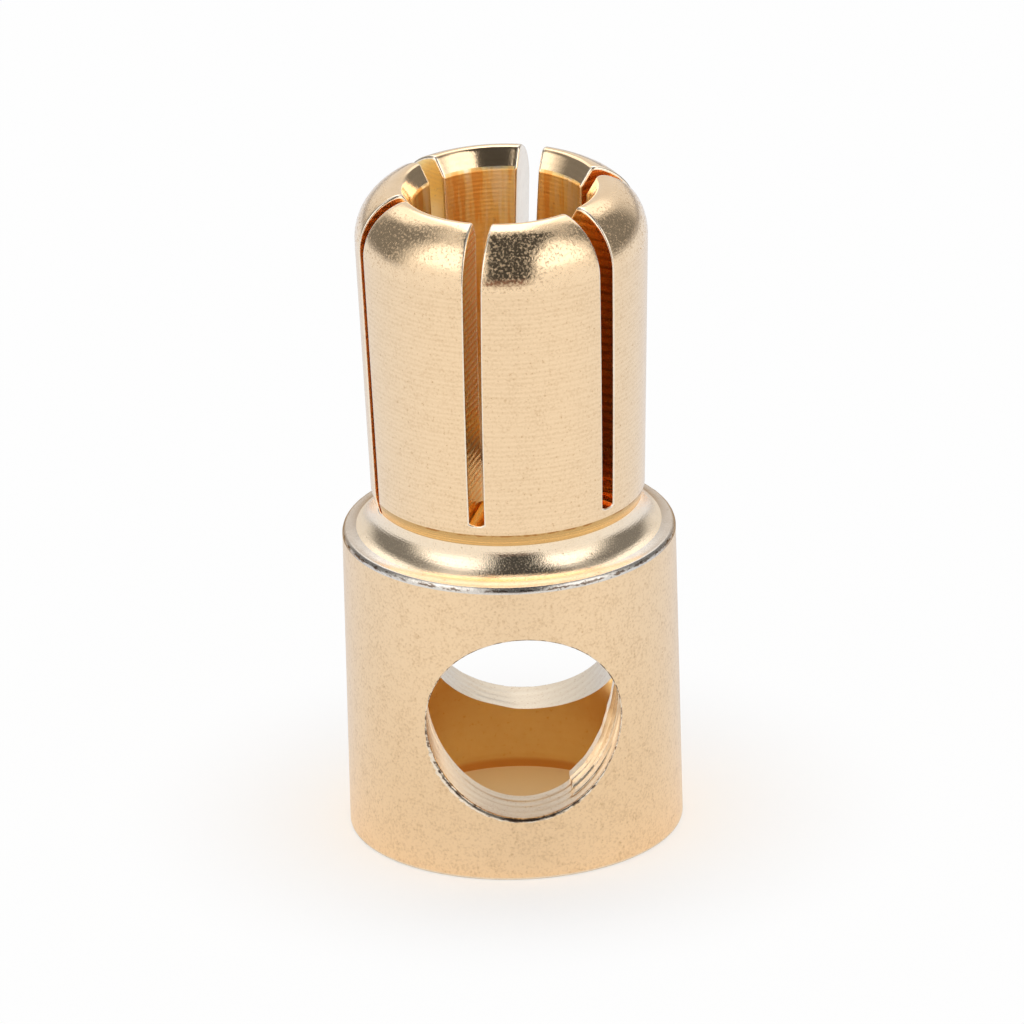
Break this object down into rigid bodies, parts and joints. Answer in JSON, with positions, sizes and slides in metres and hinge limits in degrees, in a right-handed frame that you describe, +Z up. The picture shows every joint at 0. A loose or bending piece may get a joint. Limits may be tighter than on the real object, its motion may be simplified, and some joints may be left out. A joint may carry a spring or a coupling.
{
  "type": "bullet contact",
  "caption": "Gold-plated male bullet contact for battery leads: slotted, splayed spring crown above an open solder cup with a cross hole.",
  "frame": {"origin": "centre of the bottom ring of the solder cup, on the contact's axis", "axes": "+Z up the contact's axis from the solder cup to the crown, Y along the cross hole"},
  "size_m": [0.0094, 0.0094, 0.0193],
  "materials": {
    "gold_plate": "bright gold plating over turned brass, with fine turning lines on the fingers and satin on the body"
  },
  "bodies": {
    "root": {"bullet_contact": "gold_plate"}
  },
  "joints": []
}
